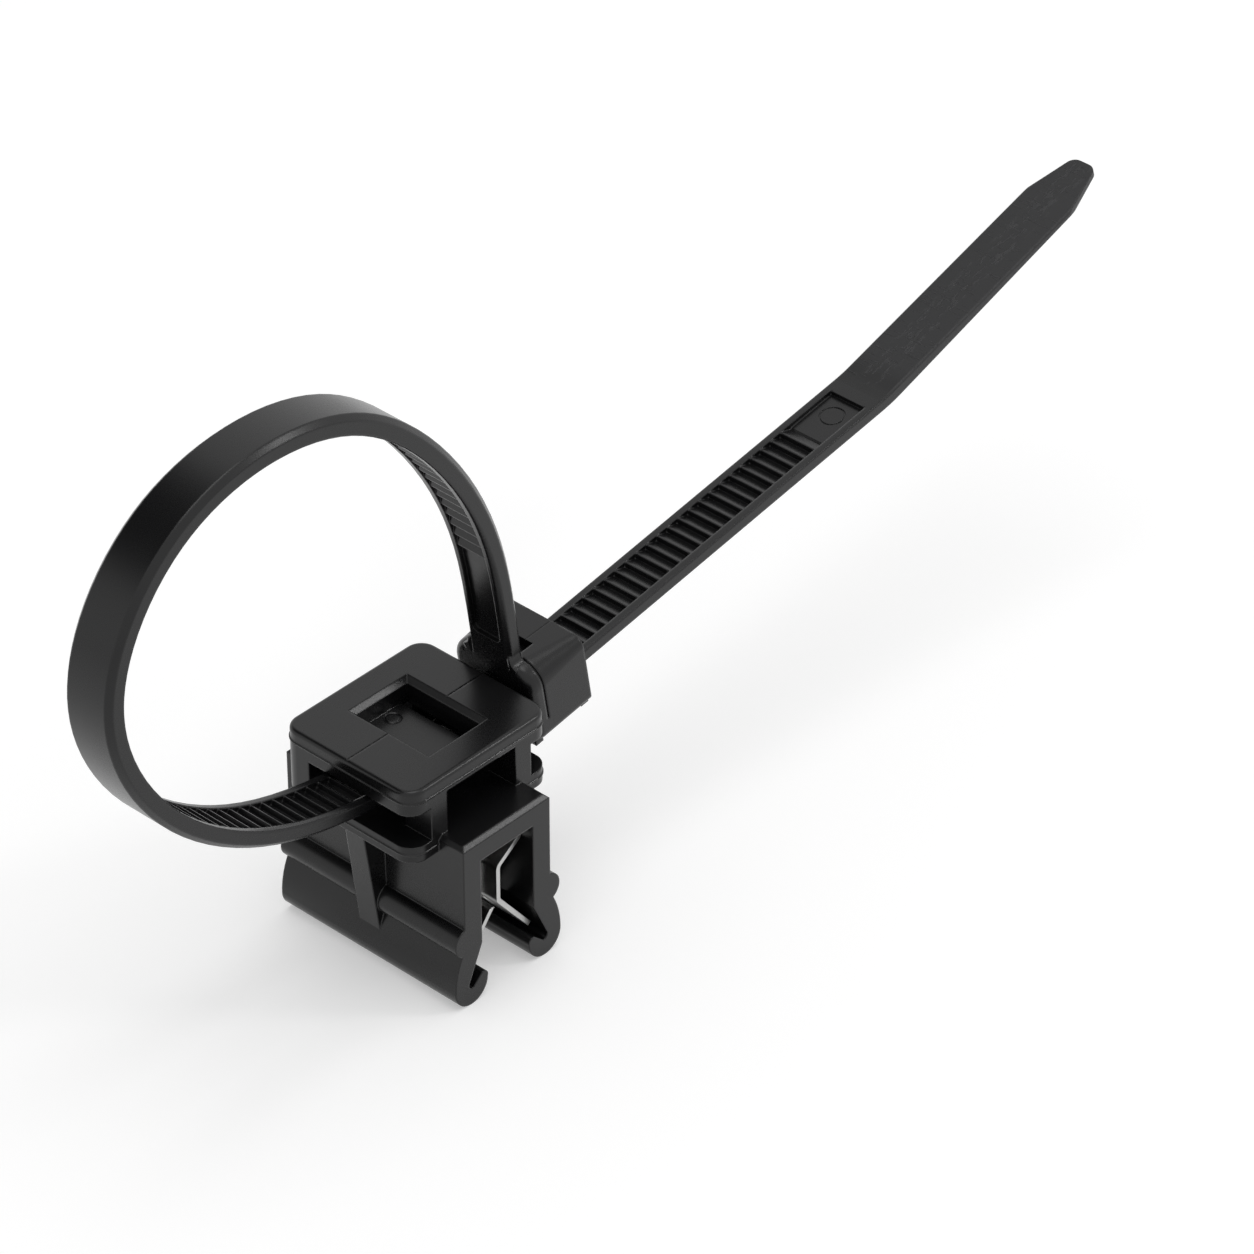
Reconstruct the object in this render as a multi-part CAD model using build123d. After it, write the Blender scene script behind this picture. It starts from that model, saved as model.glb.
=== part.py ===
from build123d import *
from math import cos, pi, radians, sin
import os

# A cable tie threaded through a clip that snaps onto the edge of a panel.
# Three pieces: a moulded clip body, a spring steel clamp inside its jaws, and a
# moulded cable tie whose strap runs through the clip's slot and its own head.
#
# Frame, in millimetres: X along the strap where it runs through the clip, with the
# loop towards -X and the tail towards +X. Y along the panel edge and across the
# strap. Z up, with the jaws' lips standing on z = 0 and the panel entering from below.
# The origin is the middle of the jaws' mouth.

# Jaw housing
housing_width = 9.4
housing_length = 18.7
housing_height = 15.2
wall = 1.85
roof = 2.05
housing_bevel = 0.35

# Lips, beads and ribs on the outside of the jaws
lip_radius = 1.75
lip_proud = 1.1
groove_width = 0.55
hook_rise = 0.65
inner_flare_height = 5.3
bead_height = 6.3
bead_proud = 1.02
bead_radius = 1.2
valley_height = 5.05
valley_proud = 0.33
rib_width_top = 1.95
rib_width_foot = 2.25
rib_reach_top = 2.25
rib_reach_foot = 0.85

# Strap holder on top of the housing
plate_length = 15.1
plate_width = 13.6
plate_thickness = 2.2
plate_corner = 1.5
plate_edge = 0.35
flange_thickness = 1.4
slot_height = 3.0
strap_passage = 8.0
cross_passage = 7.4
cross_passage_relief = 0.7
front_post_width = 1.7

# Window in the plate, with a bridge below it that keeps the strap down
window_length = 6.4
window_width = 8.5
window_offset = 0.2
window_bevel = 0.45
window_depth = 1.9
bridge_thickness = 0.75
bridge_gap = 0.75

# Marks of the mould: rings left by ejector pins, and the lines where its halves part
clip_ring_radius = 0.7
clip_ring_x = 0.4
clip_ring_y = 2.9
strap_ring_radius = 1.1
ring_line = 0.14
ring_depth = 0.07
ridge_height = 0.12
ridge_proud = 0.08
seam_width = 0.1
seam_depth = 0.05

# Spring steel clamp
steel = 0.4
clamp_fit = 0.05
clamp_recess = 1.2
pinch_gap = 0.08
pinch_top = 10.0
pinch_bottom = 6.95
shoulder_drop = 1.5
shoulder_bevel = 0.45
arm_foot = 2.75
arm_foot_gap = 0.25
relief_length = 2.0
keyhole_inset = 2.7
keyhole_offset = 1.75
keyhole_radius = 0.55
keyhole_slit = 0.15
notch_length = 3.6
notch_depth = 0.9

# Strap of the cable tie
strap_width = 4.9
neck_width = 4.35
neck_thickness = 1.75
loop_thickness = 1.6
tail_thickness = 1.4
tip_thickness = 0.5
smooth_bevel = 0.27
neck_bevel = 0.42
rail_bevel = 0.1
neck_blend = 26.0
rail_width = 0.65
panel_width = 2.9
panel_corner = 0.5
tooth_pitch = 1.235
tooth_depth = 0.42
crest_depth = 0.08
crest_length = 0.12
panel_depth = 0.4
panel_start = 1.9
panel_length = 8.8
strap_gap = 0.1
channel_height = 1.2
loop_stations = 44
panel_stations = 6

# Route of the strap: the loop's box, and its shape as shares of that box
loop_reach = 31.9
loop_top = 53.4
loop_shape = [
    (0.955, 0.415),
    (0.804, 0.755),
    (0.600, 0.950),
    (0.405, 1.000),
    (0.155, 0.920),
    (0.000, 0.635),
    (0.080, 0.345),
    (0.292, 0.129),
]
tail_angle = 9.4
toothed_tail = 31.6
stop_recess = 3.9
bend_offset = 1.3
bend_radius = 14.0
bend_angle = 8.6
paddle_length = 27.4
tip_length = 5.0
tip_width = 2.3
tip_corner = 0.9

# Head of the cable tie
head_width = 8.3
head_length = 5.95
head_gap = 1.25
head_rise = 0.63
head_floor = 1.75
head_top_front = 5.35
head_top_back = 4.9
head_shoulder_radius = 2.2
head_back_radius = 1.0
head_foot_radius = 0.6
head_heel_radius = 0.65
neck_seat = 0.3
flare_radius = 1.0
collar_thickness = 1.2
collar_groove = 0.2
top_notch_length = 1.35
top_notch_width = 3.3
top_notch_depth = 0.9
top_seam_offset = 0.85
passage_side_gap = 0.15
passage_gap = 0.12
pawl_room_width = 3.5
pawl_room_top = 3.8
pawl_width = 2.7
pawl_gap = 0.08
pawl_rise = 1.0
pawl_hinge = 0.8
pawl_tip = 4.9
pawl_tooth = 0.55
foot_size = 0.8
foot_offset = 3.3
front_foot_height = 0.45
back_foot_height = 0.3

# Places worked out from the sizes
half = housing_width / 2
gap_half = half - wall
ceiling = housing_height - roof
slot_top = housing_height + slot_height
clip_top = slot_top + plate_thickness
bridge_top = clip_top - window_depth
bridge_under = bridge_top - bridge_thickness


def slab(outline, width):
    """Thickens an outline drawn in the X-Z plane evenly to both sides of the middle plane."""
    return extrude(Plane.XZ * outline, amount=width / 2, both=True)


def block(x0, x1, y0, y1, z0, z1):
    """A box between two corners."""
    middle = Pos((x0 + x1) / 2, (y0 + y1) / 2, (z0 + z1) / 2)
    return middle * Box(x1 - x0, y1 - y0, z1 - z0)


def both_sides(piece):
    """The piece and its mirror image across the middle of the jaws."""
    return piece + mirror(piece, Plane.YZ)


# Clip body


def jaw_outline():
    """Section of one jaw on the +X side, from the middle plane outwards."""
    lip_centre = half + lip_proud - lip_radius
    lip_out = (lip_centre + lip_radius, lip_radius)
    lip_in = (lip_centre - lip_radius, lip_radius)
    valley = (half + valley_proud, valley_height)
    bead_side = half + bead_proud - bead_radius
    bead_top = bead_height + (bead_radius**2 - (half - bead_side) ** 2) ** 0.5
    groove_foot = lip_radius - groove_width / 2
    groove_out = lip_centre + groove_width / 2
    hook_top = lip_radius + hook_rise
    outer = [
        Line((0, housing_height), (half, housing_height)),
        Line((half, housing_height), (half, bead_top)),
        ThreePointArc((half, bead_top), (half + bead_proud, bead_height), valley),
        TangentArc(lip_out, valley, tangent=(0, 1)),
        ThreePointArc(lip_out, (lip_centre, 0), lip_in),
    ]
    inner = [
        ThreePointArc(
            lip_in,
            (lip_in[0] + groove_width * 0.4, hook_top - groove_width * 0.1),
            (lip_in[0] + groove_width, hook_top),
        ),
        Line((lip_in[0] + groove_width, hook_top), (lip_centre - groove_width / 3, groove_foot)),
        ThreePointArc(
            (lip_centre - groove_width / 3, groove_foot),
            (lip_centre + groove_width / 4, groove_foot + groove_width / 6),
            (groove_out, lip_radius + groove_width / 2),
        ),
        Line((groove_out, lip_radius + groove_width / 2), (gap_half, inner_flare_height)),
        Line((gap_half, inner_flare_height), (gap_half, ceiling)),
        Line((gap_half, ceiling), (0, ceiling)),
        Line((0, ceiling), (0, housing_height)),
    ]
    return make_face(Wire(outer + inner))


def jaw_housing():
    jaw = slab(jaw_outline(), housing_length)
    housing = both_sides(jaw)
    top_edges = housing.edges().group_by(Axis.Z)[-1]
    return chamfer(top_edges, housing_bevel)


def side_rib():
    """Rib down the middle of the +X side, from the flange to the lip."""
    foot = lip_radius
    head = housing_height - flange_thickness
    side = Polyline(
        (half - wall / 2, head + flange_thickness / 2),
        (half + rib_reach_top, head + flange_thickness / 2),
        (half + rib_reach_top, head),
        (half + rib_reach_foot, foot + lip_radius),
        (half + lip_proud, foot),
        (half - wall / 2, foot + 2 * lip_radius),
        close=True,
    )
    front = Polyline(
        (-rib_width_foot / 2, foot),
        (rib_width_foot / 2, foot),
        (rib_width_top / 2, head),
        (rib_width_top / 2, housing_height),
        (-rib_width_top / 2, housing_height),
        (-rib_width_top / 2, head),
        close=True,
    )
    from_side = slab(make_face(side), 2 * rib_width_foot)
    from_front = extrude(Plane.YZ * make_face(front), amount=housing_width + 2 * rib_reach_top)
    return from_side & from_front


def holder_outline():
    return RectangleRounded(plate_length, plate_width, plate_corner)


def parting_ridge(height):
    """Fine ridge round the holder, where the halves of the mould meet."""
    outline = RectangleRounded(
        plate_length + 2 * ridge_proud, plate_width + 2 * ridge_proud, plate_corner + ridge_proud
    )
    return extrude(Pos(0, 0, height) * outline, amount=ridge_height / 2, both=True)


def flanges():
    base = Pos(0, 0, housing_height - flange_thickness) * holder_outline()
    ring = extrude(base, amount=flange_thickness)
    ring += parting_ridge(housing_height - flange_thickness / 2)
    return ring - block(-gap_half, gap_half, -plate_width, plate_width, 0, ceiling)


def posts():
    """Corner posts that leave a passage for the strap along X and another along Y."""
    column = extrude(Pos(0, 0, housing_height) * holder_outline(), amount=slot_height)
    reach = plate_length
    inner = cross_passage / 2
    side = strap_passage / 2
    low = housing_height
    back = block(inner, reach, side, reach, low, slot_top)
    front = block(inner, inner + front_post_width, -reach, -side, low, slot_top)
    return column & both_sides(back + front)


def ring_mark(radius):
    """Fine ring groove that an ejector pin leaves, as a cutter on z = 0."""
    outer = Cylinder(radius, 2 * ring_depth)
    return outer - Cylinder(radius - ring_line, 2 * ring_depth)


def top_plate():
    plate = extrude(Pos(0, 0, slot_top) * holder_outline(), amount=plate_thickness)
    plate = fillet(plate.edges().group_by(Axis.Z)[-1], plate_edge)
    plate += parting_ridge(slot_top + plate_thickness / 2)
    half_seam = seam_width / 2
    reach = plate_length / 2
    plate -= block(-reach, reach, -half_seam, half_seam, clip_top - seam_depth, clip_top)
    inner = cross_passage / 2
    side = strap_passage / 2
    relief = block(-inner, inner, side, plate_width, slot_top, slot_top + cross_passage_relief)
    plate -= relief + mirror(relief, Plane.XZ)
    left = window_offset - window_length / 2
    right = window_offset + window_length / 2
    mouth = Pos(window_offset, 0, clip_top) * Rectangle(window_length, window_width)
    plate -= extrude(mouth, amount=-window_bevel, taper=45)
    room = block(
        left + window_bevel,
        right - window_bevel,
        window_bevel - window_width / 2,
        window_width / 2 - window_bevel,
        slot_top,
        clip_top,
    )
    bridge = block(
        left,
        right - window_bevel - bridge_gap,
        -strap_passage / 2,
        strap_passage / 2,
        bridge_under,
        bridge_top,
    )
    bridge -= Pos(clip_ring_x, clip_ring_y, bridge_top) * ring_mark(clip_ring_radius)
    return plate - room + bridge


def edge_clip():
    body = jaw_housing() + flanges() + both_sides(side_rib())
    return body + posts() + top_plate()


# Spring steel clamp


def sheet_outline(points, radius):
    """Outline of a steel sheet bent along a line of points."""
    line = FilletPolyline(*points, radius=radius)
    return make_face(line.wire().offset_2d(steel, side=Side.LEFT, closed=True))


def clamp_leg():
    """Section of one leg: base, shoulder, gripping face and slanted arm."""
    out = gap_half - clamp_fit
    top = ceiling - clamp_fit
    grip = pinch_gap / 2 + steel
    wall_slope = (half + lip_proud - lip_radius + groove_width / 2 - gap_half) / (
        inner_flare_height - lip_radius - groove_width / 2
    )
    arm_out = gap_half + (inner_flare_height - arm_foot) * wall_slope - arm_foot_gap
    points = [
        (0, top),
        (out - shoulder_bevel, top),
        (out, top - shoulder_bevel),
        (out, top - shoulder_drop),
        (grip, pinch_top),
        (grip, pinch_bottom),
        (arm_out, arm_foot),
    ]
    return sheet_outline(list(reversed(points)), steel)


def keyhole():
    """Hole with a slit towards the gripping face, cut through an arm from below."""
    grip = pinch_gap / 2 + steel / 2
    hole = Pos(keyhole_offset, 0) * Circle(keyhole_radius)
    slit = Polyline(
        (grip, -keyhole_slit / 2),
        (keyhole_offset, -keyhole_radius),
        (keyhole_offset, keyhole_radius),
        (grip, keyhole_slit / 2),
        close=True,
    )
    return extrude(hole + make_face(slit), amount=pinch_bottom)


def spring_clamp():
    length = housing_length - 2 * clamp_recess
    leg = slab(clamp_leg(), length)
    end = length / 2
    low = pinch_bottom - steel
    high = ceiling - clamp_fit - shoulder_drop + steel / 2
    leg -= block(0, half, end - relief_length, end + steel, low, high)
    notch = Polyline(
        (half, -notch_length / 2 - notch_depth / 2),
        (gap_half - notch_depth, -notch_length / 2),
        (gap_half - notch_depth, notch_length / 2),
        (half, notch_length / 2 + notch_depth / 2),
        close=True,
    )
    leg -= extrude(make_face(notch), amount=arm_foot + 2 * steel)
    for place in (keyhole_inset - end, end - keyhole_inset):
        leg -= Pos(0, place, 0) * keyhole()
    return leg + Rot(0, 0, 180) * leg


# Cable tie

slope = radians(tail_angle)
along = Vector(cos(slope), 0, sin(slope))
up = Vector(-sin(slope), 0, cos(slope))
slot_middle = (housing_height + bridge_under) / 2
head_front = plate_length / 2 + head_gap
strap_in_head = Vector(head_front, 0, slot_middle + head_rise)
head_origin = strap_in_head - up * (tail_thickness / 2)
head_side = Plane(origin=head_origin, x_dir=along, z_dir=(0, -1, 0))
head_front_view = Plane(origin=head_origin, x_dir=(0, 1, 0), z_dir=along)
neck_start = pawl_room_top + neck_seat


def strap_route():
    """Middle line of the strap, from inside the head round the loop and out to the tip."""
    neck = head_origin + along * (neck_thickness / 2) + up * neck_start
    span = neck.X + loop_reach
    rise = loop_top - slot_middle
    points = [(neck.X, neck.Z)]
    for across, height in loop_shape:
        points.append((across * span - loop_reach, slot_middle + height * rise))
    points.append((-plate_length / 2, slot_top - strap_gap - loop_thickness / 2))
    points.append((0, slot_middle))
    points.append((strap_in_head.X, strap_in_head.Z))
    loop = Spline(*points, tangents=[(up.X, up.Z), (along.X, along.Z)])
    straight = head_length + toothed_tail + stop_recess + bend_offset
    run = Line(loop @ 1, (loop @ 1) + (loop % 1) * straight)
    bend = JernArc(start=run @ 1, tangent=run % 1, radius=bend_radius, arc_size=bend_angle)
    paddle = Line(bend @ 1, (bend @ 1) + (bend % 1) * paddle_length)
    return loop, run, bend, paddle


route = strap_route()
loop_end = route[0].length
run_end = loop_end + route[1].length
bend_end = run_end + route[2].length
strap_end = bend_end + route[3].length
first_groove = head_top_front - neck_start + panel_start
teeth_start = first_groove + panel_length
teeth_stop = loop_end + head_length + toothed_tail
recess_stop = teeth_stop + stop_recess


def route_at(place):
    """Point and toothed-side normal of the strap's middle line at a length along it."""
    start = 0
    for piece in route:
        if place <= start + piece.length or piece is route[-1]:
            break
        start += piece.length
    share = min(max(place - start, 0), piece.length)
    point = piece.position_at(share, position_mode=PositionMode.LENGTH)
    tangent = piece.tangent_at(share, position_mode=PositionMode.LENGTH)
    return point, Vector(-tangent.Y, tangent.X)


def eased(start, stop, share):
    """Value between two others that leaves and arrives without a kink."""
    return start + (stop - start) * (1 - cos(pi * min(max(share, 0), 1))) / 2


def thickness_at(place):
    """Strap thickness, from the strong neck to the loop, the tail and the thin tip."""
    if place < loop_end / 2:
        return eased(neck_thickness, loop_thickness, place / (loop_end / 2))
    if place < bend_end:
        return eased(loop_thickness, tail_thickness, 2 * place / loop_end - 1)
    return tail_thickness + (tip_thickness - tail_thickness) * (place - bend_end) / paddle_length


def above(place, lift):
    """Point off the strap's toothed face; a negative lift lies inside the strap."""
    point, normal = route_at(place)
    moved = point + normal * (thickness_at(place) / 2 + lift)
    return (moved.X, moved.Y)


def across(place):
    """Plane square to the strap, with X over its width and Y towards its toothed face."""
    point, normal = route_at(place)
    ahead = (normal.Y, 0, -normal.X)
    return Plane(origin=(point.X, 0, point.Y), x_dir=(0, 1, 0), z_dir=ahead)


def width_at(place):
    """Strap width, a little narrower at the neck than in the tail."""
    return eased(neck_width, strap_width, place / loop_end)


def strap_section(place):
    """Cross-section of the strap, with wide bevels at its smooth face and at the neck."""
    side = width_at(place) / 2
    high = thickness_at(place) / 2
    back = smooth_bevel * 2 * high
    front = eased(neck_bevel, rail_bevel, place / neck_blend)
    if place > bend_end:
        front = min(front, back)
    outline = Polyline(
        (back - side, -high),
        (side - back, -high),
        (side, back - high),
        (side, high - front),
        (side - front, high),
        (front - side, high),
        (-side, high - front),
        (-side, back - high),
        close=True,
    )
    return across(place) * make_face(outline)


def channel_section(place):
    """Cross-section of the room between the rails, from the narrow panel to the tail."""
    width = eased(panel_width, strap_width - 2 * rail_width, place / loop_end)
    return across(place) * Pos(0, thickness_at(place) / 2) * Rectangle(width, channel_height)


def along_route(section):
    """Solid that carries a cross-section along the loop, the run, the bend and the paddle."""
    loop = loft([section(loop_end * i / loop_stations) for i in range(loop_stations + 1)])
    run = loft([section(loop_end), section(run_end)])
    bend = loft([section(run_end), section((run_end + bend_end) / 2), section(bend_end)])
    paddle = loft([section(bend_end), section(strap_end)])
    return loop + run + bend + paddle


def channel_outline():
    """Side view of what is cut from the toothed face: a panel, the teeth and a recess."""
    floor = [above(first_groove, channel_height), above(first_groove, -panel_depth)]
    for i in range(1, panel_stations):
        place = first_groove + panel_length * i / panel_stations
        floor.append(above(place, -panel_depth))
    count = int((teeth_stop - teeth_start) / tooth_pitch)
    for i in range(count):
        place = teeth_start + i * tooth_pitch
        floor.append(above(place, -crest_depth - tooth_depth))
        floor.append(above(place + crest_length, -crest_depth))
        floor.append(above(place + 2 * crest_length, -crest_depth))
    last = teeth_start + count * tooth_pitch
    floor.append(above(last, -crest_depth - tooth_depth))
    floor.append(above(last + crest_length, -panel_depth))
    floor.append(above(recess_stop, -panel_depth))
    floor.append(above(recess_stop, channel_height))
    back = []
    for i in range(1, 2 * loop_stations):
        place = recess_stop + (first_groove - recess_stop) * i / (2 * loop_stations)
        back.append(above(place, channel_height))
    return make_face(Polyline(*floor, *back, close=True))


def on_strap(place, depth=0.0):
    """Plane on the toothed face, or below it by a depth, with X along the strap."""
    point, normal = route_at(place)
    foot = point + normal * (thickness_at(place) / 2 - depth)
    along_strap = (normal.Y, 0, -normal.X)
    return Plane(origin=(foot.X, 0, foot.Y), x_dir=along_strap, z_dir=(normal.X, 0, normal.Y))


def panel_corners():
    """Fillings that round the two corners at the panel's lower end."""
    rounded = Pos(panel_corner, 0) * RectangleRounded(
        2 * panel_corner, panel_width, 0.99 * panel_corner
    )
    square = Rectangle(panel_corner, strap_width, align=(Align.MIN, Align.CENTER))
    return extrude(on_strap(first_groove) * (square - rounded), amount=channel_height, both=True)


def tip_cutter():
    """What is cut away round the tapered tip with its rounded corners."""
    side = strap_width / 2
    kept = make_face(
        Polyline(
            (-tip_length, -side),
            (0, -tip_width / 2),
            (0, tip_width / 2),
            (-tip_length, side),
            close=True,
        )
    )
    kept = fillet(kept.vertices().group_by(Axis.X)[-1], tip_corner)
    away = Rectangle(2 * tip_length, 2 * strap_width) - kept
    return extrude(on_strap(strap_end) * away, amount=2 * tail_thickness, both=True)


def strap():
    room = along_route(channel_section) - panel_corners()
    band = along_route(strap_section) - (room & slab(channel_outline(), strap_width))
    middle = (teeth_stop + recess_stop) / 2
    band -= on_strap(middle, panel_depth) * ring_mark(strap_ring_radius)
    return band - tip_cutter()


def head_profile(place, top, corner, inset):
    """Cross-section of the head at a distance from its front, with round shoulders."""
    width = head_width - 2 * inset
    height = top + head_floor - 2 * inset
    middle = Pos((top - head_floor) / 2 * Vector(0, 1))
    outline = Rectangle(width, height)
    outline = fillet(outline.vertices().group_by(Axis.Y)[-1], corner - inset)
    outline = fillet(outline.vertices().group_by(Axis.Y)[0], head_foot_radius)
    return head_front_view.offset(place) * middle * outline


def head_block(inset):
    """Head without its window, drawn in all round by an inset."""
    front = head_profile(0, head_top_front, head_shoulder_radius, inset)
    back = head_profile(head_length, head_top_back, head_back_radius, inset)
    body = loft([front, back], ruled=True)
    heel = body.edges().filter_by(lambda e: abs(e.center().Y) < 0.01).group_by(Axis.Z)[0]
    return fillet(heel.sort_by(Axis.X)[-1], head_heel_radius)


def collar_flare():
    """Hollow curve on each side that leads the neck into the collar's round shoulders."""
    side = neck_width / 2
    shoulder = Vector(head_width / 2 - head_shoulder_radius, head_top_front - head_shoulder_radius)
    reach = head_shoulder_radius + flare_radius
    out = side + flare_radius - shoulder.X
    centre = shoulder + Vector(out, (reach**2 - out**2) ** 0.5)
    start = centre - Vector(flare_radius, 0)
    stop = centre + (shoulder - centre).normalized() * flare_radius
    middle = centre + (start + stop - 2 * centre).normalized() * flare_radius
    inner = Polyline(stop, (side - collar_groove, shoulder.Y), (side - collar_groove, start.Y), start)
    face = make_face(Wire([ThreePointArc(start, middle, stop)] + inner.edges()))
    down = (head_top_back - head_top_front) / head_length
    web = extrude(head_front_view * face, amount=collar_thickness, dir=along + up * down)
    return web + mirror(web, Plane.XZ)


def top_marks():
    """Notch behind the neck, and the mould's parting line from there to the head's back."""
    notch_end = neck_thickness + top_notch_length
    slope_down = (head_top_front - head_top_back) / head_length
    notch_top = head_top_front - notch_end * slope_down
    notch = Polyline(
        (0, notch_top - top_notch_depth),
        (notch_end, notch_top - top_notch_depth),
        (notch_end, head_top_front),
        (0, head_top_front),
        close=True,
    )
    line = Polyline(
        (notch_end, notch_top - seam_depth),
        (head_length, head_top_back - seam_depth),
        (head_length, head_top_front),
        (notch_end, head_top_front),
        close=True,
    )
    cut = extrude(head_side * make_face(notch), amount=top_notch_width / 2, both=True)
    seam = extrude(head_side * make_face(line), amount=seam_width / 2, both=True)
    return cut + Pos(0, -top_seam_offset, 0) * seam


def pawl():
    """Tongue hinged on the front wall of the head, its toothed tip over the strap's teeth."""
    low = tail_thickness - crest_depth + pawl_gap
    outline = Polyline(
        (collar_thickness, low + pawl_rise),
        (pawl_tip - 3 * pawl_tooth, low + pawl_tooth / 2),
        (pawl_tip - 2 * pawl_tooth, low),
        (pawl_tip - 2 * pawl_tooth, low + pawl_tooth / 2),
        (pawl_tip - pawl_tooth, low),
        (pawl_tip - pawl_tooth, low + pawl_tooth / 2),
        (pawl_tip, low),
        (pawl_tip + pawl_tooth / 3, low + pawl_tooth),
        (pawl_tip - pawl_tooth / 2, low + 3 * pawl_tooth / 2),
        (collar_thickness, low + pawl_rise + pawl_hinge),
        close=True,
    )
    return extrude(head_side * make_face(outline), amount=pawl_width / 2, both=True)


def head():
    body = head_block(0)
    shell = body - head_block(collar_groove)
    ring = Rectangle(collar_groove, head_width, align=(Align.MIN, Align.MIN))
    ring = head_side * Pos(collar_thickness, 0) * ring
    body -= shell & extrude(ring, amount=head_width, both=True)
    passage_height = tail_thickness + 2 * passage_gap
    passage = Rectangle(4 * head_length, passage_height)
    passage = head_side * Pos(0, passage_height / 2 - passage_gap) * passage
    body -= extrude(passage, amount=strap_width / 2 + passage_side_gap, both=True)
    room = Rectangle(head_length, pawl_room_top, align=(Align.MIN, Align.MIN))
    room = head_side * Pos(collar_thickness, 0) * room
    body -= extrude(room, amount=pawl_room_width / 2, both=True)
    body -= top_marks()
    for side in (-foot_offset, foot_offset):
        front = head_side * Pos(foot_size / 2, -head_floor, side)
        back = head_side * Pos(head_length - foot_size / 2, -head_floor, side)
        body += front * Box(foot_size, 2 * front_foot_height, foot_size)
        body += back * Box(foot_size, 2 * back_foot_height, foot_size)
    return body + pawl() + collar_flare()


def cable_tie():
    return strap() + head()


if __name__ == "__main__":
    os.makedirs("parts", exist_ok=True)
    print("strap length from neck to tip:", round(strap_end, 1))
    export_step(edge_clip(), "parts/edge_clip.step")
    export_step(spring_clamp(), "parts/spring_clamp.step")
    export_step(cable_tie(), "parts/cable_tie.step")
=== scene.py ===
from math import cos, radians, sin

import bpy
from mathutils import Matrix, Vector


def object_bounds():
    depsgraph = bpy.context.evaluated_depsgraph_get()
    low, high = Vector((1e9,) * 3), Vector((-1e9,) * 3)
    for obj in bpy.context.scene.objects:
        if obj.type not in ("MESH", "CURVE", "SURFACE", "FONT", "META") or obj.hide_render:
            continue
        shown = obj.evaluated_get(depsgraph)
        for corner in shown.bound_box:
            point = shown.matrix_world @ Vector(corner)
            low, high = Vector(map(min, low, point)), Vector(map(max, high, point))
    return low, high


bl_info = {
    "name": "Edge clip cable tie",
    "version": (1, 0, 0),
    "blender": (4, 5, 0),
    "location": "View3D > Sidebar > Edge clip tie",
    "description": "Finishes a moulded edge clip, its spring clamp and its cable tie on a pale stage",
    "category": "Object",
}

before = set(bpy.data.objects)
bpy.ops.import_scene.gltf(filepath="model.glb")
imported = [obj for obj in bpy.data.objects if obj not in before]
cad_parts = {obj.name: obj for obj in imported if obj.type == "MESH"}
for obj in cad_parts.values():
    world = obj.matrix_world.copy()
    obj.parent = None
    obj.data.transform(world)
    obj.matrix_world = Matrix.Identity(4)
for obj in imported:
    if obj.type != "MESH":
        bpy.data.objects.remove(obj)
cad_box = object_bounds()
MM = 0.001


# Sizes and colours that a user would change


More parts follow.
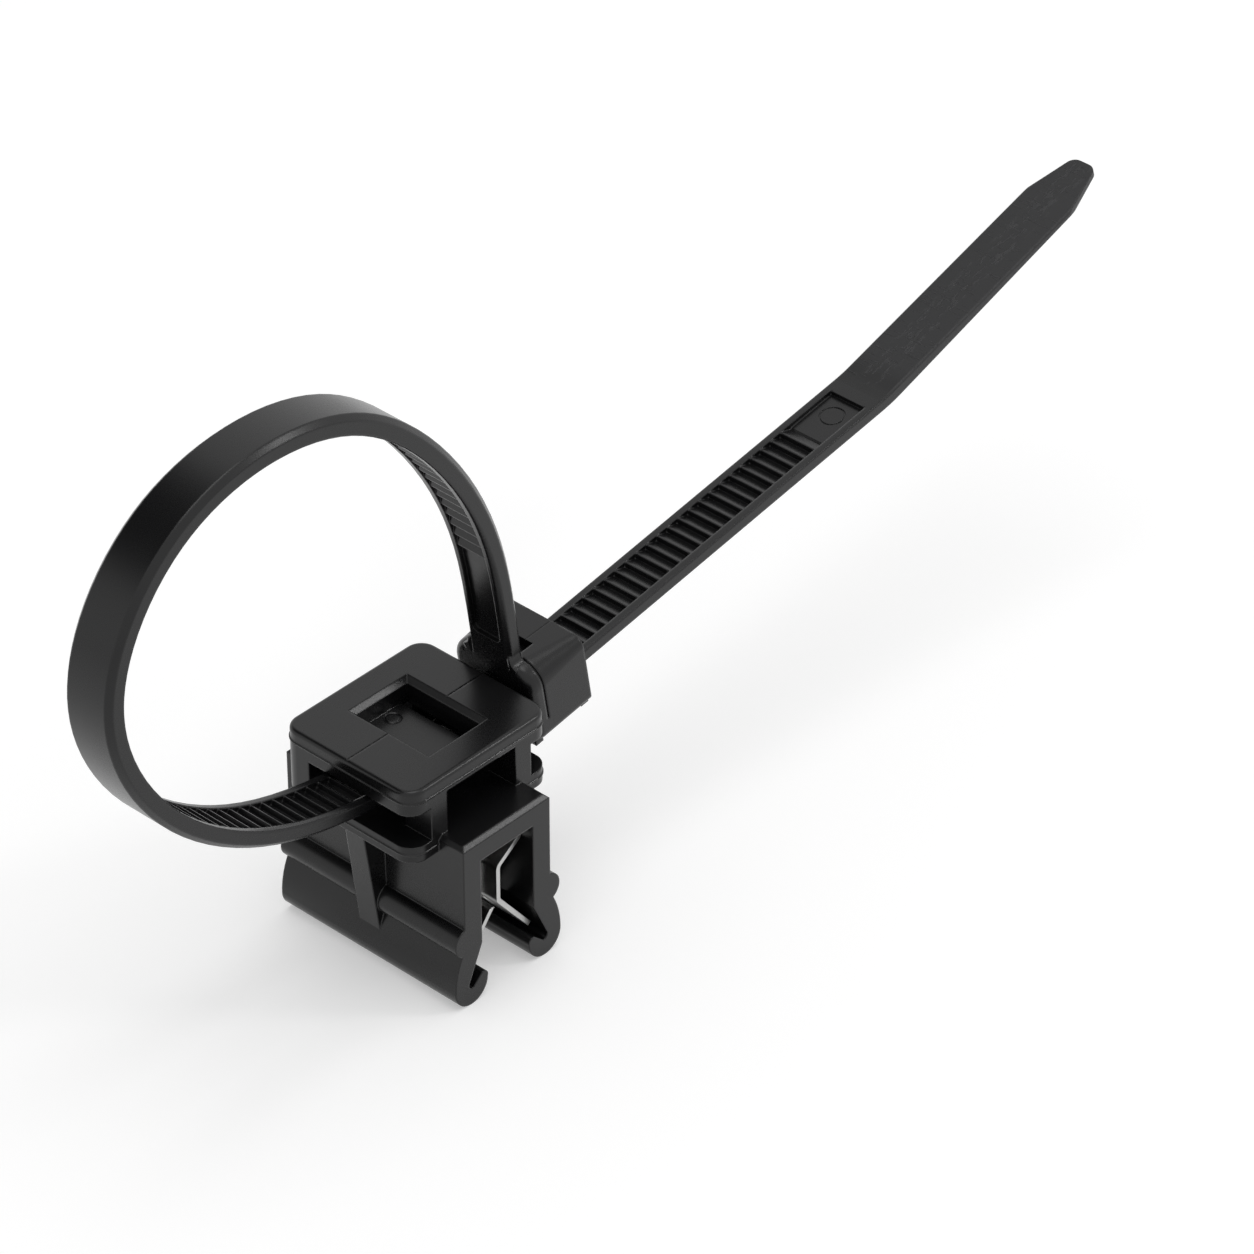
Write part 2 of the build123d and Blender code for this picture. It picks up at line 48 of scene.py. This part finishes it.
class TieStageSettings(bpy.types.PropertyGroup):
    camera_place: bpy.props.FloatVectorProperty(
        name="Camera place",
        description="Where the camera stands",
        default=(-0.25624, -0.25685, 0.29382),
        subtype="TRANSLATION",
        unit="LENGTH",
    )
    camera_azimuth: bpy.props.FloatProperty(
        name="Camera azimuth",
        description="Compass direction of the view, from looking along +Y",
        default=radians(-47.447),
        subtype="ANGLE",
    )
    camera_elevation: bpy.props.FloatProperty(
        name="Camera elevation",
        description="How far the view looks down",
        default=radians(36.182),
        subtype="ANGLE",
    )
    camera_lens: bpy.props.FloatProperty(
        name="Camera lens",
        description="Focal length for a frame 36 mm wide",
        default=172.88,
        subtype="DISTANCE_CAMERA",
        unit="CAMERA",
    )
    floor_size: bpy.props.FloatProperty(
        name="Floor size",
        description="Side of the pale floor",
        default=8.0,
        unit="LENGTH",
    )
    floor_colour: bpy.props.FloatVectorProperty(
        name="Floor colour",
        description="Colour of the pale floor",
        default=(0.75, 0.75, 0.75),
        subtype="COLOR",
    )
    floor_lift: bpy.props.FloatProperty(
        name="Floor lift",
        description="How much whiter the camera and gloss see the floor than it is lit",
        default=0.34,
        subtype="FACTOR",
    )
    sky_strength: bpy.props.FloatProperty(
        name="Sky strength",
        description="Light from the pale surroundings",
        default=0.6,
    )
    dark_side: bpy.props.FloatVectorProperty(
        name="Dark side",
        description="Direction of the unlit gap that glossy surfaces mirror",
        default=(-0.26, 0.62, 0.74),
        subtype="DIRECTION",
    )
    dark_core: bpy.props.FloatProperty(
        name="Dark core",
        description="Angle from the middle of the gap to where it starts to fade",
        default=radians(10),
        subtype="ANGLE",
    )
    dark_reach: bpy.props.FloatProperty(
        name="Dark reach",
        description="Angle from the middle of the gap to where it has faded out",
        default=radians(35),
        subtype="ANGLE",
    )
    dark_depth: bpy.props.FloatProperty(
        name="Dark depth",
        description="Share of the light that is missing in the middle of the gap",
        default=0.97,
        subtype="FACTOR",
    )
    light_target: bpy.props.FloatVectorProperty(
        name="Light target",
        description="Point that the soft lights look at",
        default=(0.01, 0, 0.02),
        subtype="TRANSLATION",
        unit="LENGTH",
    )
    key_place: bpy.props.FloatVectorProperty(
        name="Key light place",
        description="Where the large soft light stands",
        default=(0.0, -0.03, 0.85),
        subtype="TRANSLATION",
        unit="LENGTH",
    )
    key_size: bpy.props.FloatProperty(
        name="Key light size",
        description="Diameter of the large soft light",
        default=0.6,
        unit="LENGTH",
    )
    key_power: bpy.props.FloatProperty(
        name="Key light power",
        description="Power of the large soft light overhead",
        default=2.0,
        subtype="POWER",
        unit="POWER",
    )
    fill_place: bpy.props.FloatVectorProperty(
        name="Fill light place",
        description="Where the small light that makes edges glint stands",
        default=(0.55, -0.55, 0.52),
        subtype="TRANSLATION",
        unit="LENGTH",
    )
    fill_size: bpy.props.FloatProperty(
        name="Fill light size",
        description="Diameter of the small light",
        default=0.16,
        unit="LENGTH",
    )
    fill_power: bpy.props.FloatProperty(
        name="Fill light power",
        description="Power of the small light",
        default=1.0,
        subtype="POWER",
        unit="POWER",
    )


class NylonSettings(bpy.types.PropertyGroup):
    colour: bpy.props.FloatVectorProperty(
        name="Nylon colour",
        description="Colour of the black nylon",
        default=(0.0035, 0.0035, 0.0038),
        subtype="COLOR",
    )
    worn_colour: bpy.props.FloatVectorProperty(
        name="Worn nylon colour",
        description="Paler colour that rubbed edges and the paddle lean towards",
        default=(0.034, 0.034, 0.036),
        subtype="COLOR",
    )
    grain: bpy.props.FloatProperty(
        name="Grain size",
        description="Size of the fine grain that the mould leaves",
        default=0.16 * MM,
        unit="LENGTH",
        precision=6,
    )
    flow: bpy.props.FloatProperty(
        name="Flow size",
        description="Size of the faint waves that the flow of the plastic leaves",
        default=7 * MM,
        unit="LENGTH",
    )
    patch: bpy.props.FloatProperty(
        name="Patch size",
        description="Size of the patches in which edges are rubbed",
        default=1.6 * MM,
        unit="LENGTH",
    )
    clip_rounding: bpy.props.FloatProperty(
        name="Clip edge rounding",
        description="Rounding of the clip body's edges in the shading",
        default=0.18 * MM,
        unit="LENGTH",
        precision=6,
    )
    tie_rounding: bpy.props.FloatProperty(
        name="Tie edge rounding",
        description="Rounding of the cable tie's edges in the shading",
        default=0.28 * MM,
        unit="LENGTH",
        precision=6,
    )
    tooth_rounding: bpy.props.FloatProperty(
        name="Tooth edge rounding",
        description="Rounding in the middle of the strap, where the teeth are",
        default=0.07 * MM,
        unit="LENGTH",
        precision=6,
    )
    paddle_start: bpy.props.FloatProperty(
        name="Paddle start",
        description="Place along X where the paddle's matt and marked surface starts",
        default=51.5 * MM,
        unit="LENGTH",
    )
    paddle_paleness: bpy.props.FloatProperty(
        name="Paddle paleness",
        description="How much paler the whole paddle is",
        default=0.95,
        subtype="FACTOR",
    )
    paddle_matt: bpy.props.FloatProperty(
        name="Paddle matt",
        description="How much rougher the paddle is than the rest of the tie",
        default=0.17,
        subtype="FACTOR",
    )
    mark_paleness: bpy.props.FloatProperty(
        name="Mark paleness",
        description="How pale the marks on the paddle are",
        default=0.7,
        subtype="FACTOR",
    )
    edge_polish: bpy.props.FloatProperty(
        name="Edge polish",
        description="How much smoother the edges are than the faces",
        default=0.17,
        subtype="FACTOR",
    )


class SpringSteelSettings(bpy.types.PropertyGroup):
    colour: bpy.props.FloatVectorProperty(
        name="Steel colour",
        description="Colour of the bright spring steel",
        default=(0.62, 0.62, 0.61),
        subtype="COLOR",
    )
    shade_colour: bpy.props.FloatVectorProperty(
        name="Steel shade colour",
        description="Darker colour of the rolled streaks",
        default=(0.42, 0.42, 0.42),
        subtype="COLOR",
    )
    streak: bpy.props.FloatProperty(
        name="Streak size",
        description="Width of the streaks that rolling leaves along the strip",
        default=0.12 * MM,
        unit="LENGTH",
        precision=6,
    )
    stain: bpy.props.FloatProperty(
        name="Stain size",
        description="Size of the patches in which the streaks are darker",
        default=2.5 * MM,
        unit="LENGTH",
    )
    rounding: bpy.props.FloatProperty(
        name="Steel edge rounding",
        description="Rounding of the sheared edges in the shading",
        default=0.05 * MM,
        unit="LENGTH",
        precision=6,
    )


# Shared ways of building a finish; where they say material, a world does too


def clear_nodes(material):
    """Gives a new material an empty node tree."""
    material.use_nodes = True
    material.node_tree.nodes.clear()
    return material


def add_node(material, kind, **values):
    node = material.node_tree.nodes.new(kind)
    for key, value in values.items():
        setattr(node, key, value)
    return node


def join(material, start, end):
    material.node_tree.links.new(start, end)


def object_place(material):
    """Place of a point in the object's own axes."""
    return add_node(material, "ShaderNodeTexCoord").outputs["Object"]


def glossy_shader(material):
    """Principled shader, joined to the material's output."""
    shader = add_node(material, "ShaderNodeBsdfPrincipled")
    output = add_node(material, "ShaderNodeOutputMaterial")
    join(material, shader.outputs["BSDF"], output.inputs["Surface"])
    return shader


def rounded_edges(material, radius, samples):
    """Bevel node, which rounds edges in the shading and not in the mesh."""
    bevel = add_node(material, "ShaderNodeBevel", samples=samples)
    bevel.inputs["Radius"].default_value = radius
    return bevel


def stretched_noise(material, place, size, stretch=(1, 1, 1), detail=3.0):
    """Noise of a size in metres, longer along the axes with a stretch above 1."""
    mapping = add_node(material, "ShaderNodeMapping")
    mapping.inputs["Scale"].default_value = [1 / (size * s) for s in stretch]
    join(material, place, mapping.inputs["Vector"])
    noise = add_node(material, "ShaderNodeTexNoise")
    noise.inputs["Scale"].default_value = 1.0
    noise.inputs["Detail"].default_value = detail
    join(material, mapping.outputs["Vector"], noise.inputs["Vector"])
    return noise.outputs["Fac"]


def maths(material, operation, first, second=0.0):
    """Math node on two values, each a socket or a number."""
    node = add_node(material, "ShaderNodeMath", operation=operation)
    for socket, value in zip(node.inputs, (first, second)):
        if isinstance(value, (int, float)):
            socket.default_value = value
        else:
            join(material, value, socket)
    return node.outputs["Value"]


def spread(material, value, low, high, start=0.0, stop=1.0):
    """Turns a value between start and stop evenly into one between low and high."""
    node = add_node(material, "ShaderNodeMapRange")
    limits = {"From Min": start, "From Max": stop, "To Min": low, "To Max": high}
    for name, number in limits.items():
        node.inputs[name].default_value = number
    join(material, value, node.inputs["Value"])
    return node.outputs["Result"]


def mask(material, value, start, stop):
    """0 where a value is below start, 1 where it is above stop."""
    return spread(material, value, 0.0, 1.0, start, stop)


def blend_colours(material, factor, first, second):
    node = add_node(material, "ShaderNodeMix", data_type="RGBA")
    ends = [socket for socket in node.inputs if socket.type == "RGBA"]
    for socket, colour in zip(ends, (first, second)):
        socket.default_value = (*colour, 1)
    join(material, factor, node.inputs["Factor"])
    return next(socket for socket in node.outputs if socket.type == "RGBA")


def seen_directly(material):
    """1 for what the camera, gloss or glass sees, 0 for the light on diffuse surfaces."""
    rays = add_node(material, "ShaderNodeLightPath").outputs
    seen = maths(material, "MAXIMUM", rays["Is Camera Ray"], rays["Is Glossy Ray"])
    return maths(material, "MAXIMUM", seen, rays["Is Transmission Ray"])


def dress(node_name, material):
    """Puts a finish on every slot of a CAD node."""
    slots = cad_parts[node_name].material_slots
    if not slots:
        raise RuntimeError(f"{node_name} has no material slot")
    for slot in slots:
        slot.material = material


# Finishes


def edge_mask(material, rounded):
    """Mask of the edges, where the rounded normal turns away from the surface's own."""
    own = add_node(material, "ShaderNodeNewGeometry").outputs["Normal"]
    match = add_node(material, "ShaderNodeVectorMath", operation="DOT_PRODUCT")
    join(material, own, match.inputs[0])
    join(material, rounded, match.inputs[1])
    return spread(material, match.outputs["Value"], low=1.0, high=0.0, start=0.82, stop=0.97)


def raised(material, height, normal, strength, distance):
    """Bump of a height over another normal."""
    bump = add_node(material, "ShaderNodeBump")
    bump.inputs["Strength"].default_value = strength
    bump.inputs["Distance"].default_value = distance
    join(material, height, bump.inputs["Height"])
    join(material, normal, bump.inputs["Normal"])
    return bump.outputs["Normal"]


def paddle_marks(material, place, aside, reached):
    """Short marks down the middle of the paddle and finer scratches across it."""
    middle = spread(material, aside, low=1.0, high=0.0, start=0.4 * MM, stop=1.2 * MM)
    short = stretched_noise(material, place, 0.32 * MM, stretch=(3.5, 1, 3.5), detail=4.0)
    short = maths(material, "MULTIPLY", mask(material, short, 0.55, 0.62), middle)
    fine = stretched_noise(material, place, 0.16 * MM, stretch=(1, 14, 1))
    fine = mask(material, fine, 0.63, 0.68)
    return maths(material, "MULTIPLY", maths(material, "MAXIMUM", short, fine), reached)


def black_nylon(settings, name, rough, is_tie=False):
    """Moulded black nylon: fine grain, soft sheen and edges that are rubbed and smoother.

    On the tie the teeth are rounded less, and the paddle is paler, more matt and marked.
    """
    material = clear_nodes(bpy.data.materials.new(name))
    place = object_place(material)
    shader = glossy_shader(material)
    shader.inputs["IOR"].default_value = 1.53
    shader.inputs["Specular IOR Level"].default_value = 0.33

    grain = stretched_noise(material, place, settings.grain, detail=2.0)
    flow = stretched_noise(material, place, settings.flow, stretch=(2.5, 1, 1), detail=2.0)
    patches = stretched_noise(material, place, settings.patch, detail=5.0)
    bevel = rounded_edges(material, settings.clip_rounding, samples=12)
    edges = edge_mask(material, bevel.outputs["Normal"])
    wear = maths(material, "MULTIPLY", edges, mask(material, patches, 0.48, 0.62))
    normal = bevel.outputs["Normal"]
    normal = raised(material, flow, normal, strength=0.05, distance=0.12 * MM)
    normal = raised(material, grain, normal, strength=0.08, distance=0.02 * MM)
    roughness = spread(material, flow, rough - 0.04, rough + 0.04)

    if is_tie:
        axes = add_node(material, "ShaderNodeSeparateXYZ")
        join(material, place, axes.inputs["Vector"])
        aside = maths(material, "ABSOLUTE", axes.outputs["Y"])
        rail_from, rail_to = 1.4 * MM, 1.9 * MM
        radius = spread(
            material, aside, settings.tooth_rounding, settings.tie_rounding, rail_from, rail_to
        )
        join(material, radius, bevel.inputs["Radius"])
        start = settings.paddle_start
        reached = mask(material, axes.outputs["X"], start, start + 3 * MM)
        marks = paddle_marks(material, place, aside, reached)
        pale_marks = maths(material, "MULTIPLY", marks, settings.mark_paleness)
        pale_paddle = maths(material, "MULTIPLY", reached, settings.paddle_paleness)
        wear = maths(material, "MAXIMUM", wear, pale_marks)
        wear = maths(material, "ADD", wear, pale_paddle)
        normal = raised(material, marks, normal, strength=1.0, distance=0.06 * MM)
        matt = maths(material, "MULTIPLY", reached, settings.paddle_matt)
        roughness = maths(material, "ADD", roughness, matt)
    join(material, normal, shader.inputs["Normal"])

    pale_wear = maths(material, "MULTIPLY", wear, 0.4)
    pale_flow = maths(material, "MULTIPLY", flow, 0.08)
    pale = maths(material, "ADD", pale_wear, pale_flow)
    colour = blend_colours(material, pale, settings.colour, settings.worn_colour)
    join(material, colour, shader.inputs["Base Color"])
    rough_grain = maths(material, "MULTIPLY", grain, 0.05)
    polish = maths(material, "MULTIPLY", edges, settings.edge_polish)
    roughness = maths(material, "ADD", roughness, rough_grain)
    roughness = maths(material, "SUBTRACT", roughness, polish)
    join(material, roughness, shader.inputs["Roughness"])
    return material


def bright_spring_steel(settings):
    """Rolled spring steel: streaks along the strip, bright sheared edges, faint stains."""
    material = clear_nodes(bpy.data.materials.new("bright_spring_steel"))
    place = object_place(material)
    shader = glossy_shader(material)
    shader.inputs["Metallic"].default_value = 1.0

    streaks = stretched_noise(material, place, settings.streak, stretch=(1, 60, 1))
    stains = stretched_noise(material, place, settings.stain, detail=5.0)
    bevel = rounded_edges(material, settings.rounding, samples=6)
    edges = edge_mask(material, bevel.outputs["Normal"])
    shade = maths(material, "MULTIPLY", maths(material, "MULTIPLY", streaks, stains), 1.6)
    shade = maths(material, "SUBTRACT", shade, edges)
    clamp = add_node(material, "ShaderNodeClamp")
    join(material, shade, clamp.inputs["Value"])
    factor = clamp.outputs["Result"]
    colour = blend_colours(material, factor, settings.colour, settings.shade_colour)
    join(material, colour, shader.inputs["Base Color"])
    join(material, spread(material, streaks, 0.24, 0.34), shader.inputs["Roughness"])

    normal = bevel.outputs["Normal"]
    normal = raised(material, streaks, normal, strength=0.08, distance=0.01 * MM)
    join(material, normal, shader.inputs["Normal"])
    return material


def pale_floor(settings):
    """White floor that keeps the object's shadow and looks white to the camera."""
    material = clear_nodes(bpy.data.materials.new("pale_floor"))
    diffuse = add_node(material, "ShaderNodeBsdfDiffuse")
    diffuse.inputs["Color"].default_value = (*settings.floor_colour, 1)
    glow = add_node(material, "ShaderNodeEmission")
    glow.inputs["Color"].default_value = (1, 1, 1, 1)
    lift = maths(material, "MULTIPLY", seen_directly(material), settings.floor_lift)
    join(material, lift, glow.inputs["Strength"])
    both = add_node(material, "ShaderNodeAddShader")
    join(material, diffuse.outputs["BSDF"], both.inputs[0])
    join(material, glow.outputs["Emission"], both.inputs[1])
    output = add_node(material, "ShaderNodeOutputMaterial")
    join(material, both.outputs["Shader"], output.inputs["Surface"])
    return material


def dark_gap(world, settings):
    """How dark the sky is in a direction: up to dark_depth in the gap, 0 outside it."""
    direction = add_node(world, "ShaderNodeTexCoord").outputs["Generated"]
    toward = add_node(world, "ShaderNodeVectorMath", operation="DOT_PRODUCT")
    join(world, direction, toward.inputs[0])
    toward.inputs[1].default_value = Vector(settings.dark_side).normalized()
    gap = add_node(world, "ShaderNodeMapRange", interpolation_type="SMOOTHSTEP")
    gap.inputs["From Min"].default_value = cos(settings.dark_reach)
    gap.inputs["From Max"].default_value = cos(settings.dark_core)
    gap.inputs["To Max"].default_value = settings.dark_depth
    join(world, toward.outputs["Value"], gap.inputs["Value"])
    return gap.outputs["Result"]


def pale_sky(settings):
    """Surroundings that look white and light the object at a plain level.

    Only glossy rays see the gap, which gives the loop its dark band.
    """
    world = clear_nodes(bpy.data.worlds.new("pale_sky"))
    strength = spread(world, seen_directly(world), settings.sky_strength, 1.0)
    glossy = add_node(world, "ShaderNodeLightPath").outputs["Is Glossy Ray"]
    shade = maths(world, "MULTIPLY", dark_gap(world, settings), glossy)
    strength = maths(world, "MULTIPLY", strength, maths(world, "SUBTRACT", 1.0, shade))
    sky = add_node(world, "ShaderNodeBackground")
    sky.inputs["Color"].default_value = (1, 1, 1, 1)
    join(world, strength, sky.inputs["Strength"])
    output = add_node(world, "ShaderNodeOutputWorld")
    join(world, sky.outputs["Background"], output.inputs["Surface"])
    return world


# Stage


def place_camera(settings):
    """Camera at the photograph's place, looking along its azimuth and elevation."""
    azimuth, elevation = settings.camera_azimuth, settings.camera_elevation
    level = cos(elevation)
    back = Vector((sin(azimuth) * level, -cos(azimuth) * level, sin(elevation)))
    right = Vector((cos(azimuth), sin(azimuth), 0))
    up = back.cross(right)
    data = bpy.data.cameras.new("tie_camera")
    data.sensor_fit = "HORIZONTAL"
    data.sensor_width = 36.0
    data.lens = settings.camera_lens
    data.clip_start = 0.01
    data.clip_end = 20.0
    camera = bpy.data.objects.new("tie_camera", data)
    turn = Matrix((right, up, back)).transposed().to_4x4()
    camera.matrix_world = Matrix.Translation(settings.camera_place) @ turn
    bpy.context.scene.collection.objects.link(camera)
    bpy.context.scene.camera = camera


def soft_light(name, place, target, size, power):
    """Round area light that looks at a target."""
    data = bpy.data.lights.new(name, "AREA")
    data.shape = "DISK"
    data.size = size
    data.energy = power
    lamp = bpy.data.objects.new(name, data)
    lamp.location = place
    aim = Vector(target) - Vector(place)
    lamp.rotation_euler = aim.to_track_quat("-Z", "Y").to_euler()
    bpy.context.scene.collection.objects.link(lamp)


class TIE_OT_set_stage(bpy.types.Operator):
    """Places the camera, the pale floor, the sky and the soft lights"""

    bl_idname = "tie.set_stage"
    bl_label = "Set the stage"

    def execute(self, context):
        settings = context.scene.tie_stage
        place_camera(settings)
        half = settings.floor_size / 2
        below_lips = 0.02 * MM
        mesh = bpy.data.meshes.new("pale_floor")
        corners = [(-half, -half, 0), (half, -half, 0), (half, half, 0), (-half, half, 0)]
        mesh.from_pydata(corners, [], [(0, 1, 2, 3)])
        mesh.materials.append(pale_floor(settings))
        floor = bpy.data.objects.new("pale_floor", mesh)
        floor.location.z = cad_box[0][2] - below_lips
        context.scene.collection.objects.link(floor)
        context.scene.world = pale_sky(settings)
        context.scene.view_settings.view_transform = "Standard"
        target = settings.light_target
        soft_light("key_light", settings.key_place, target, settings.key_size, settings.key_power)
        soft_light(
            "fill_light", settings.fill_place, target, settings.fill_size, settings.fill_power
        )
        return {"FINISHED"}


# Pieces


class TIE_OT_finish_clip_body(bpy.types.Operator):
    """Gives the moulded clip body its satin black nylon"""

    bl_idname = "tie.finish_clip_body"
    bl_label = "Finish the clip body"

    def execute(self, context):
        dress("edge_clip", black_nylon(context.scene.tie_nylon, "clip_nylon", rough=0.26))
        return {"FINISHED"}


class TIE_OT_finish_cable_tie(bpy.types.Operator):
    """Gives the cable tie its smoother black nylon, matt and marked on the paddle"""

    bl_idname = "tie.finish_cable_tie"
    bl_label = "Finish the cable tie"

    def execute(self, context):
        nylon = black_nylon(context.scene.tie_nylon, "tie_nylon", rough=0.24, is_tie=True)
        dress("cable_tie", nylon)
        return {"FINISHED"}


class TIE_OT_finish_spring_clamp(bpy.types.Operator):
    """Gives the spring clamp its bright rolled steel"""

    bl_idname = "tie.finish_spring_clamp"
    bl_label = "Finish the spring clamp"

    def execute(self, context):
        dress("spring_clamp", bright_spring_steel(context.scene.tie_steel))
        return {"FINISHED"}


class TIE_PT_sidebar(bpy.types.Panel):
    """Lists the pieces and the stage of the edge clip cable tie"""

    bl_idname = "TIE_PT_sidebar"
    bl_label = "Edge clip cable tie"
    bl_space_type = "VIEW_3D"
    bl_region_type = "UI"
    bl_category = "Edge clip tie"

    def draw(self, context):
        scene = context.scene
        for operator, group in (
            (TIE_OT_set_stage, scene.tie_stage),
            (TIE_OT_finish_clip_body, scene.tie_nylon),
            (TIE_OT_finish_cable_tie, None),
            (TIE_OT_finish_spring_clamp, scene.tie_steel),
        ):
            self.layout.operator(operator.bl_idname)
            if group is not None:
                for name in group.__annotations__:
                    self.layout.prop(group, name)


CLASSES = (
    TieStageSettings,
    NylonSettings,
    SpringSteelSettings,
    TIE_OT_set_stage,
    TIE_OT_finish_clip_body,
    TIE_OT_finish_cable_tie,
    TIE_OT_finish_spring_clamp,
    TIE_PT_sidebar,
)


def register():
    for each in CLASSES:
        bpy.utils.register_class(each)
    bpy.types.Scene.tie_stage = bpy.props.PointerProperty(type=TieStageSettings)
    bpy.types.Scene.tie_nylon = bpy.props.PointerProperty(type=NylonSettings)
    bpy.types.Scene.tie_steel = bpy.props.PointerProperty(type=SpringSteelSettings)


def unregister():
    del bpy.types.Scene.tie_steel
    del bpy.types.Scene.tie_nylon
    del bpy.types.Scene.tie_stage
    for each in reversed(CLASSES):
        bpy.utils.unregister_class(each)


def main():
    register()
    bpy.ops.tie.set_stage()
    bpy.ops.tie.finish_clip_body()
    bpy.ops.tie.finish_cable_tie()
    bpy.ops.tie.finish_spring_clamp()


if __name__ == "__main__":
    main()
